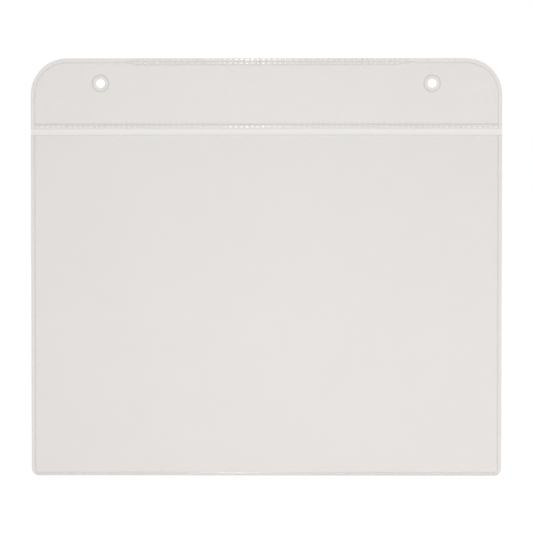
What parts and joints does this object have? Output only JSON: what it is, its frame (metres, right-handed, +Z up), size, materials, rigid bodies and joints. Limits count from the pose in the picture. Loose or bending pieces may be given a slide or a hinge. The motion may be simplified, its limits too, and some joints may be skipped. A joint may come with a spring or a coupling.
{
  "type": "magnetic document pocket",
  "caption": "Landscape document pocket: white back sheet, welded header with two hanging holes, clear front film open along its top edge, magnetic strips on the rear.",
  "frame": {"origin": "middle of the upper magnet strip's rear face, on the steel surface that the pocket clings to", "axes": "+X across the pocket to the right as seen from the front, +Y from the pocket into the steel surface, +Z up towards the header"},
  "size_m": [0.31, 0.0033, 0.2749],
  "materials": {
    "white_pvc": "soft white sheet, fine matt grain",
    "header_film": "clear film, fine matt grain",
    "pocket_film": "clear film, fine matt grain",
    "magnet": "smooth matt magnetic strip"
  },
  "bodies": {
    "root": {"back_sheet": "white_pvc", "header_film": "header_film", "pocket_film": "pocket_film", "magnet_strip_upper": "magnet", "magnet_strip_lower": "magnet"}
  },
  "joints": []
}
